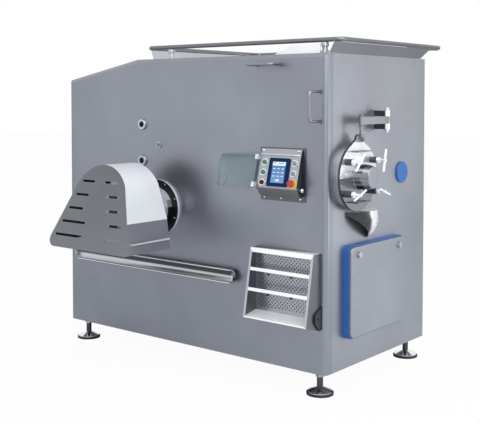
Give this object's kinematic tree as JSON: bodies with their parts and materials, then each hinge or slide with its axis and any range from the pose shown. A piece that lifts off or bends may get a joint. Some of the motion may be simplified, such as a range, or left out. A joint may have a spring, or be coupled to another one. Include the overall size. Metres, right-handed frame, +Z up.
{
  "type": "angled meat grinder",
  "caption": "Floor-standing stainless meat grinder: open hopper over a feed auger, crossing grinding auger with cutting set under a swinging hood, control panel and clean-out cover.",
  "frame": {"origin": "centre of the bounding box at floor level, under the feet", "axes": "+X to the operator's right along the cabinet, towards the clean-out cover; +Y to the rear; +Z up; the outlet faces -Y"},
  "size_m": [2.135, 1.7215, 1.8725],
  "materials": {
    "cabinet_steel": "satin brushed stainless",
    "bright_steel": "bright brushed stainless",
    "polished": "polished",
    "dark_steel": "dark machined steel",
    "drive_paint": "satin grey paint",
    "black_rubber": "matte rubber",
    "blue_silicone": "smooth blue food-grade silicone",
    "seal_white": "smooth pale seal",
    "blue_cap": "gloss",
    "green_cap": "gloss",
    "red_cap": "gloss",
    "clear_cap": "translucent gloss",
    "yellow_plastic": "satin",
    "bezel_blue": "satin film",
    "screen": "display glass",
    "clear_shield": "smoked clear plastic",
    "black_plastic": "moulded"
  },
  "bodies": {
    "cabinet": {"front_panel": "cabinet_steel", "right_panel": "cabinet_steel", "left_panel": "cabinet_steel", "rear_panel": "cabinet_steel", "floor_pan": "cabinet_steel", "base_frame": "dark_steel", "foot_pads": "black_rubber", "levelling_feet": "bright_steel", "hopper_bowl": "bright_steel", "hopper_collar": "bright_steel", "hopper_rim": "bright_steel", "rim_posts": "bright_steel", "feed_trough": "bright_steel", "feed_gearmotor": "drive_paint", "grinding_barrel": "bright_steel", "pre_cutter": "dark_steel", "hole_plate": "dark_steel", "main_gearbox": "drive_paint", "main_motor": "drive_paint", "hood_hinge": "bright_steel", "front_rail": "bright_steel", "grab_handles": "bright_steel", "button_rings": "polished", "status_lamp": "green_cap", "panel_plate": "cabinet_steel", "panel_box": "cabinet_steel", "screen_bezel": "bezel_blue", "screen_glass": "screen", "emergency_collar": "yellow_plastic", "vent_frame": "bright_steel", "perforated_sheet": "cabinet_steel", "door_gasket": "blue_silicone", "davit_bracket": "dark_steel", "cover_buffer": "blue_silicone", "side_scoop": "bright_steel", "cable_gland": "black_plastic"},
    "feed_screw": {"feed_auger": "bright_steel"},
    "grinding_screw": {"grinding_auger": "bright_steel", "cutter_knife": "dark_steel"},
    "ring_nut": {"ring_nut": "bright_steel"},
    "guard_hood": {"guard_hood": "cabinet_steel"},
    "upper_button": {"upper_button": "blue_cap"},
    "lower_button": {"lower_button": "blue_cap"},
    "start_button": {"start_button": "green_cap"},
    "run_button": {"run_button": "green_cap"},
    "stop_button": {"stop_button": "red_cap"},
    "forward_button": {"forward_button": "clear_cap"},
    "reverse_button": {"reverse_button": "clear_cap"},
    "emergency_stop": {"emergency_stop": "red_cap"},
    "clear_cover": {"clear_cover": "clear_shield"},
    "service_door": {"service_door": "cabinet_steel"},
    "door_knob_front": {"door_knob_front": "bright_steel"},
    "door_knob_rear": {"door_knob_rear": "bright_steel"},
    "round_cover": {"side_cover": "bright_steel", "cover_seal": "seal_white", "davit_arm": "bright_steel"},
    "clamp_screw_upper_front": {"clamp_screw_upper_front": "bright_steel"},
    "clamp_screw_upper_rear": {"clamp_screw_upper_rear": "bright_steel"},
    "clamp_screw_lower_front": {"clamp_screw_lower_front": "bright_steel"},
    "clamp_screw_lower_rear": {"clamp_screw_lower_rear": "bright_steel"}
  },
  "joints": [
    {"name": "feed_screw_spin", "type": "hinge", "parent": "cabinet", "child": "feed_screw", "pos_m": [0.3225, -0.08375, 1.146], "axis": [1, 0, 0], "continuous": true},
    {"name": "grinding_screw_spin", "type": "hinge", "parent": "cabinet", "child": "grinding_screw", "pos_m": [-0.2645, -0.20975, 0.912], "axis": [0, 1, 0], "continuous": true},
    {"name": "ring_nut_turn", "type": "hinge", "parent": "cabinet", "child": "ring_nut", "pos_m": [-0.2645, -0.40975, 0.912], "axis": [0, -1, 0], "range_deg": [0, 360]},
    {"name": "guard_hood_swing", "type": "hinge", "parent": "cabinet", "child": "guard_hood", "pos_m": [-0.6625, -0.49975, 0.875], "axis": [0, 0, -1], "range_deg": [0, 110]},
    {"name": "upper_button_press", "type": "slide", "parent": "cabinet", "child": "upper_button", "axis": [0, 1, 0], "range_m": [0, 0.004], "stiffness_N_per_m": 400},
    {"name": "lower_button_press", "type": "slide", "parent": "cabinet", "child": "lower_button", "axis": [0, 1, 0], "range_m": [0, 0.004], "stiffness_N_per_m": 400},
    {"name": "start_button_press", "type": "slide", "parent": "cabinet", "child": "start_button", "axis": [0, 0.9694, -0.2454], "range_m": [0, 0.003], "stiffness_N_per_m": 400},
    {"name": "run_button_press", "type": "slide", "parent": "cabinet", "child": "run_button", "axis": [0, 0.9694, -0.2454], "range_m": [0, 0.003], "stiffness_N_per_m": 400},
    {"name": "stop_button_press", "type": "slide", "parent": "cabinet", "child": "stop_button", "axis": [0, 0.9694, -0.2454], "range_m": [0, 0.003], "stiffness_N_per_m": 400},
    {"name": "forward_button_press", "type": "slide", "parent": "cabinet", "child": "forward_button", "axis": [0, 0.9694, -0.2454], "range_m": [0, 0.003], "stiffness_N_per_m": 400},
    {"name": "reverse_button_press", "type": "slide", "parent": "cabinet", "child": "reverse_button", "axis": [0, 0.9694, -0.2454], "range_m": [0, 0.003], "stiffness_N_per_m": 400},
    {"name": "emergency_stop_press", "type": "slide", "parent": "cabinet", "child": "emergency_stop", "axis": [0, 0.9694, -0.2454], "range_m": [0, 0.005]},
    {"name": "clear_cover_swing", "type": "hinge", "parent": "cabinet", "child": "clear_cover", "pos_m": [0.5105, -0.36241, 1.1817], "axis": [0, 0.2454, 0.9694], "range_deg": [0, 184.5]},
    {"name": "service_door_lift_off", "type": "slide", "parent": "cabinet", "child": "service_door", "axis": [1, 0, 0], "range_m": [0, 0.08]},
    {"name": "door_knob_front_turn", "type": "hinge", "parent": "service_door", "child": "door_knob_front", "pos_m": [0.9775, -0.07475, 0.732], "axis": [1, 0, 0], "range_deg": [0, 90]},
    {"name": "door_knob_rear_turn", "type": "hinge", "parent": "service_door", "child": "door_knob_rear", "pos_m": [0.9775, 0.34825, 0.732], "axis": [1, 0, 0], "range_deg": [0, 90]},
    {"name": "round_cover_swing", "type": "hinge", "parent": "cabinet", "child": "round_cover", "pos_m": [0.9985, 0.16025, 1.44], "axis": [0, 0, 1], "range_deg": [0, 170]},
    {"name": "clamp_screw_upper_front_turn", "type": "hinge", "parent": "round_cover", "child": "clamp_screw_upper_front", "pos_m": [1.0025, -0.20575, 1.229], "axis": [1, 0, 0], "range_deg": [0, 360]},
    {"name": "clamp_screw_upper_rear_turn", "type": "hinge", "parent": "round_cover", "child": "clamp_screw_upper_rear", "pos_m": [1.0025, 0.03825, 1.229], "axis": [1, 0, 0], "range_deg": [0, 360]},
    {"name": "clamp_screw_lower_front_turn", "type": "hinge", "parent": "round_cover", "child": "clamp_screw_lower_front", "pos_m": [1.0025, -0.20575, 1.063], "axis": [1, 0, 0], "range_deg": [0, 360]},
    {"name": "clamp_screw_lower_rear_turn", "type": "hinge", "parent": "round_cover", "child": "clamp_screw_lower_rear", "pos_m": [1.0025, 0.03825, 1.063], "axis": [1, 0, 0], "range_deg": [0, 360]}
  ]
}
